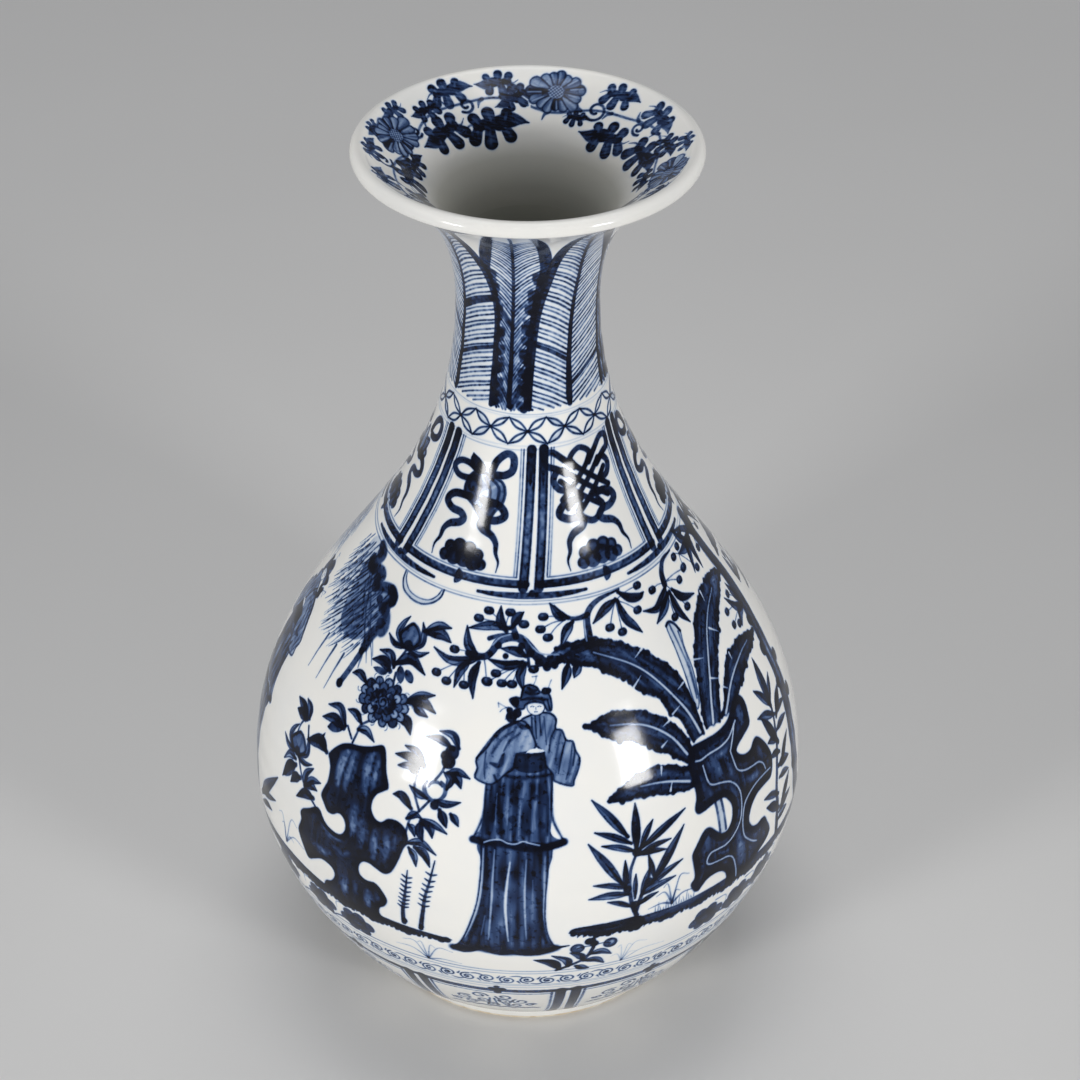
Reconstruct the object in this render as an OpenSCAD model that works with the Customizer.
// Yuhuchunping: a pear-shaped porcelain bottle vase with a flared mouth and a low ring foot.
// It is thrown in four sections, which are turned, luted together with slip and coated with clear glaze.
// Millimetres, +Z up. The origin is the centre of the foot on the resting plane.

/* [Overall] */
// Height from the resting plane to the crown of the lip
vase_h = 300; // [288:1:320]

/* [Mouth] */
// Radius of the mouth over the rolled lip
mouth_r = 51; // [46:0.5:58]
// Thickness of the rolled lip
lip_t = 5; // [4.6:0.1:6]
// How far the flare runs inward as it leaves the lip
flare_in = 14; // [10:0.5:18]
// How far the flare drops as it leaves the lip
flare_drop = 10; // [8:0.5:14]

/* [Neck] */
// Radius of the neck where it is narrowest
neck_r = 21.5; // [18:0.5:26]
// Height of the narrowest point
neck_z = 249; // [238:1:254]
// Length over which the neck stays upright above its narrowest point
neck_pull_up = 30; // [22:1:34]
// Length over which the neck stays upright below its narrowest point
neck_pull_down = 81; // [60:1:95]

/* [Belly] */
// Radius of the belly where it is widest
belly_r = 90.5; // [82:0.5:98]
// Height of the widest point
belly_z = 74; // [68:1:82]
// Length over which the belly stays upright above its widest point
belly_pull_up = 70.5; // [55:0.5:80]
// Length over which the belly stays upright below its widest point
belly_pull_down = 26.5; // [20:0.5:34]

/* [Foot] */
// Radius of the foot where it meets the belly
waist_r = 55.5; // [55:0.5:60]
// Radius of the foot on the resting plane
foot_r = 54; // [50:0.5:55]
// Height of the foot's outer face
foot_h = 6; // [4:0.5:8]
// Width of the foot ring on the resting plane
foot_w = 6; // [4:0.5:9]
// How far the foot's inner face leans in over its height
foot_draft = 1.5; // [0:0.5:3]
// Depth of the hollow under the base
recess_h = 6.5; // [4:0.5:9]
// Height of the bare strip that is wiped clean of glaze at the contact edge
bare_h = 1.6; // [0.8:0.2:3]
// How far the belly runs outward as it leaves the foot
rise_out = 9; // [7:0.5:14]
// How far the belly climbs as it leaves the foot
rise_up = 4; // [2:0.5:8]

/* [Walls and joints] */
// Thickness of the glazed wall
wall_t = 4.4; // [3.4:0.1:4.6]
// Thickness of the glazed base
base_t = 6; // [4:0.5:8]
// Thickness of each coat of glaze
glaze_t = 0.5; // [0.3:0.05:0.8]
// Thickness of the slip in each luted joint
slip_t = 0.8; // [0.5:0.1:1.5]
// Height of the joint between the foot and the belly bowl
base_joint_z = 20; // [18:1:28]
// Height of the joint between the belly bowl and the shoulder
belly_joint_z = 80; // [66:1:100]
// Height of the joint between the shoulder and the neck
neck_joint_z = 206; // [190:1:225]

/* [Hidden] */
$fn = 96;
curve_steps = 20;
porcelain_colour = "#ebe8df";
slip_colour = "#dfdacd";
outer_glaze_colour = "#c9d3e4";
plain_glaze_colour = "#e6e9e8";

foot_low = [foot_r, 0];
waist = [waist_r, foot_h];
belly = [belly_r, belly_z];
neck = [neck_r, neck_z];
lip_centre = [mouth_r - lip_t / 2, vase_h - lip_t / 2];
flare = [flare_in, flare_drop];
lip_dir = flare / norm(flare);
mouth = lip_centre + wall_t / 2 * [lip_dir.y, -lip_dir.x];
floor_z = recess_h + base_t;
reach = 2 * (belly_r + vase_h);

// The outside of the vase: foot to belly, belly to neck, neck to lip
curves = [
    [waist, waist + [rise_out, rise_up], belly - [0, belly_pull_down], belly],
    [belly, belly + [0, belly_pull_up], neck - [0, neck_pull_down], neck],
    [neck, neck + [0, neck_pull_up], mouth - flare, mouth]
];

function bezier(c, t) =
    pow(1 - t, 3) * c[0] + 3 * t * pow(1 - t, 2) * c[1] + 3 * t * t * (1 - t) * c[2] + pow(t, 3) * c[3];
function bezier_dir(c, t) =
    pow(1 - t, 2) * (c[1] - c[0]) + 2 * t * (1 - t) * (c[2] - c[1]) + t * t * (c[3] - c[2]);
function inward(v) = [-v.y, v.x] / norm(v);

// The outside curve moved into the wall by depth
function outline(depth) = [
    for (k = [0 : len(curves) - 1], i = [k == 0 ? 0 : 1 : curve_steps])
        let (t = i / curve_steps)
        bezier(curves[k], t) + depth * inward(bezier_dir(curves[k], t))
];

// The whole vase as if it were solid, with its surface moved in by depth
module solid_form(depth) {
    polygon(concat(
        [[0, 0], foot_low - [depth, 0], waist - [depth, 0]],
        outline(depth),
        [lip_centre + lip_t * inward(flare), [0, vase_h]]
    ));
}

// The space inside the wall, with its surface moved into the wall by depth
module hollow(depth) {
    inner = outline(wall_t - depth);
    intersection() {
        polygon(concat([[0, 0]], inner, [inner[len(inner) - 1] + lip_t * lip_dir, [0, vase_h + lip_t]]));
        translate([0, floor_z - depth]) square([reach, reach]);
    }
}

// The hollow under the base, with its surface moved into the foot by depth
module recess(depth) {
    edge_r = foot_r - foot_w + depth;
    roof_z = recess_h + depth;
    polygon([[0, -foot_h], [edge_r, -foot_h], [edge_r, 0], [edge_r - foot_draft, roof_z], [0, roof_z]]);
}

module lip(depth) {
    translate(lip_centre) circle(r = lip_t / 2 - depth);
}

// Section of the vase with its surfaces moved into the wall by depth
module wall(depth) {
    difference() {
        solid_form(depth);
        hollow(depth);
        recess(depth);
    }
    lip(depth);
}

// Section on the inner side of the middle of the wall
module inside_of_wall() {
    middle = outline(wall_t / 2);
    polygon(concat([[0, floor_z - base_t / 2]], [[waist_r - wall_t, floor_z - base_t / 2]],
        [for (p = middle) if (p.y > floor_z) p], [lip_centre + lip_t * lip_dir, [0, vase_h + lip_t]]));
}

// Section of the glaze on every face above the bare strip
module glaze_coat() {
    difference() {
        wall(0);
        wall(glaze_t);
        square([reach, bare_h]);
    }
}

// One level of the porcelain wall, from one height to another
module porcelain_level(low, high) {
    rotate_extrude() intersection() {
        wall(glaze_t);
        translate([0, low]) square([reach, high - low]);
    }
}

module slip_joint(height) {
    color(slip_colour) porcelain_level(height - slip_t / 2, height + slip_t / 2);
}

module mouth_and_neck() {
    color(porcelain_colour) porcelain_level(neck_joint_z + slip_t / 2, vase_h);
}

module shoulder() {
    color(porcelain_colour) porcelain_level(belly_joint_z + slip_t / 2, neck_joint_z - slip_t / 2);
}

module belly_bowl() {
    color(porcelain_colour) porcelain_level(base_joint_z + slip_t / 2, belly_joint_z - slip_t / 2);
}

module foot_and_base() {
    color(porcelain_colour) porcelain_level(0, base_joint_z - slip_t / 2);
}

module neck_slip() {
    slip_joint(neck_joint_z);
}

module belly_slip() {
    slip_joint(belly_joint_z);
}

module base_slip() {
    slip_joint(base_joint_z);
}

module outer_glaze() {
    color(outer_glaze_colour) rotate_extrude() difference() {
        glaze_coat();
        inside_of_wall();
        recess(glaze_t);
    }
}

module inner_glaze() {
    color(plain_glaze_colour) rotate_extrude() intersection() {
        glaze_coat();
        inside_of_wall();
    }
}

module base_glaze() {
    color(plain_glaze_colour) rotate_extrude() intersection() {
        glaze_coat();
        recess(glaze_t);
    }
}

mouth_and_neck();
shoulder();
belly_bowl();
foot_and_base();
neck_slip();
belly_slip();
base_slip();
outer_glaze();
inner_glaze();
base_glaze();
